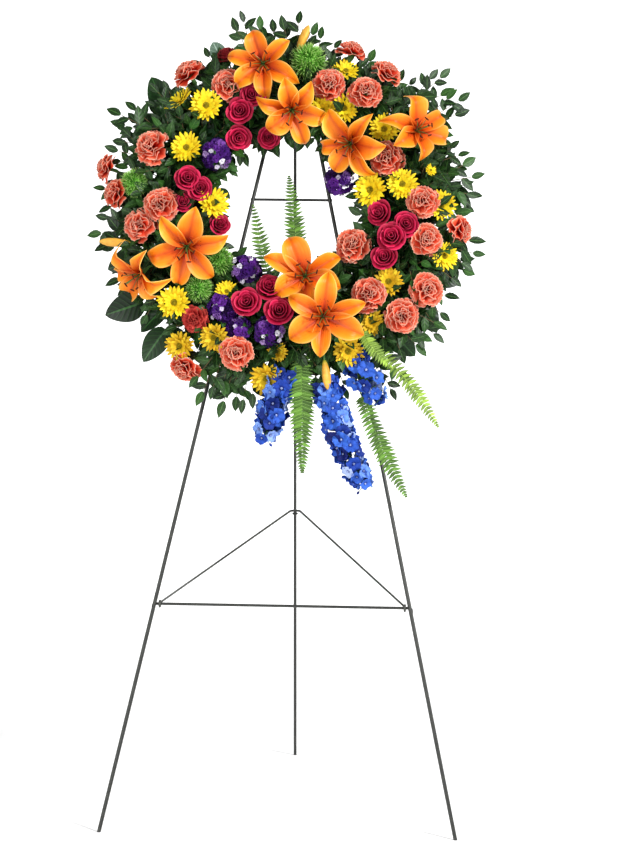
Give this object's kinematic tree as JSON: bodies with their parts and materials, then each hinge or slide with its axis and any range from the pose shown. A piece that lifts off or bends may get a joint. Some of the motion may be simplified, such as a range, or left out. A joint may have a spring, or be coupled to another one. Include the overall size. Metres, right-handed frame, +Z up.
{
  "type": "funeral wreath on easel",
  "caption": "Round standing funeral wreath of lilies, roses, carnations, mums and greenery in a foam ring, hung on a folding wire easel.",
  "frame": {"origin": "on the ground, under the middle of the bounding box, midway between the front feet and the rear foot", "axes": "+Z up, the flowers face -Y, +X to the viewer's right"},
  "size_m": [0.7173, 0.6447, 1.476],
  "materials": {
    "easel_wire": "satin",
    "brace_wire": "satin",
    "tray_plastic": "satin",
    "floral_foam": "matte",
    "tie_plastic": "satin",
    "hanger_wire": "satin",
    "lily_petal": "satin",
    "rose_petal": "matte",
    "carnation_petal": "matte",
    "mum_petal": "matte",
    "delphinium_floret": "matte",
    "stock_floret": "matte",
    "dianthus_ball": "matte",
    "fern_frond": "satin",
    "huckleberry_leaf": "satin",
    "salal_leaf": "satin",
    "eucalyptus_leaf": "matte"
  },
  "bodies": {
    "easel_front": {"front_leg_left": "easel_wire", "front_leg_right": "easel_wire", "upper_crossbar": "easel_wire", "lower_crossbar": "easel_wire", "hinge_pin": "easel_wire", "wreath_hook": "easel_wire", "foam_tray": "tray_plastic", "foam_ring": "floral_foam", "tie_left": "tie_plastic", "tie_right": "tie_plastic", "hanger_loop": "hanger_wire", "lily_top": "lily_petal", "lily_inner_top": "lily_petal", "lily_upper_right": "lily_petal", "lily_right": "lily_petal", "lily_left": "lily_petal", "lily_outer_left": "lily_petal", "lily_inner_bottom": "lily_petal", "lily_bottom": "lily_petal", "roses_upper_left": "rose_petal", "roses_left": "rose_petal", "roses_right": "rose_petal", "roses_bottom": "rose_petal", "carnations_top_left": "carnation_petal", "carnations_upper_left": "carnation_petal", "carnations_left": "carnation_petal", "carnations_top": "carnation_petal", "carnations_top_right": "carnation_petal", "carnation_upper_right": "carnation_petal", "carnations_right": "carnation_petal", "carnation_inner_right": "carnation_petal", "carnation_lower_right": "carnation_petal", "carnations_lower_right": "carnation_petal", "carnations_bottom_left": "carnation_petal", "mums_upper_left": "mum_petal", "mums_left": "mum_petal", "mums_bottom_left": "mum_petal", "mums_bottom_right": "mum_petal", "mums_right": "mum_petal", "mums_top_right": "mum_petal", "delphinium_left": "delphinium_floret", "delphinium_right": "delphinium_floret", "stock_upper_left": "stock_floret", "stock_inner_right": "stock_floret", "stock_bottom": "stock_floret", "dianthus_top": "dianthus_ball", "dianthus_left": "dianthus_ball", "fern_inner": "fern_frond", "fern_hanging": "fern_frond", "fern_right": "fern_frond", "huckleberry_top": "huckleberry_leaf", "huckleberry_right": "huckleberry_leaf", "huckleberry_bottom": "huckleberry_leaf", "huckleberry_left": "huckleberry_leaf", "salal_left": "salal_leaf", "salal_right": "salal_leaf", "eucalyptus_top": "eucalyptus_leaf"},
    "rear_leg": {"rear_leg": "easel_wire", "brace_catch": "easel_wire"},
    "brace": {"brace": "brace_wire"}
  },
  "joints": [
    {"name": "rear_leg_fold", "type": "hinge", "parent": "easel_front", "child": "rear_leg", "pos_m": [0, 0.03394, 1.41646], "axis": [-1, 0, 0], "range_deg": [0, 20]},
    {"name": "brace_fold", "type": "hinge", "parent": "easel_front", "child": "brace", "pos_m": [0, -0.21603, 0.39665], "axis": [1, 0, 0], "range_deg": [0, 52]}
  ],
  "couplings": [
    {"joint": "brace_fold", "follows": "rear_leg_fold", "ratio": 2.6}
  ]
}
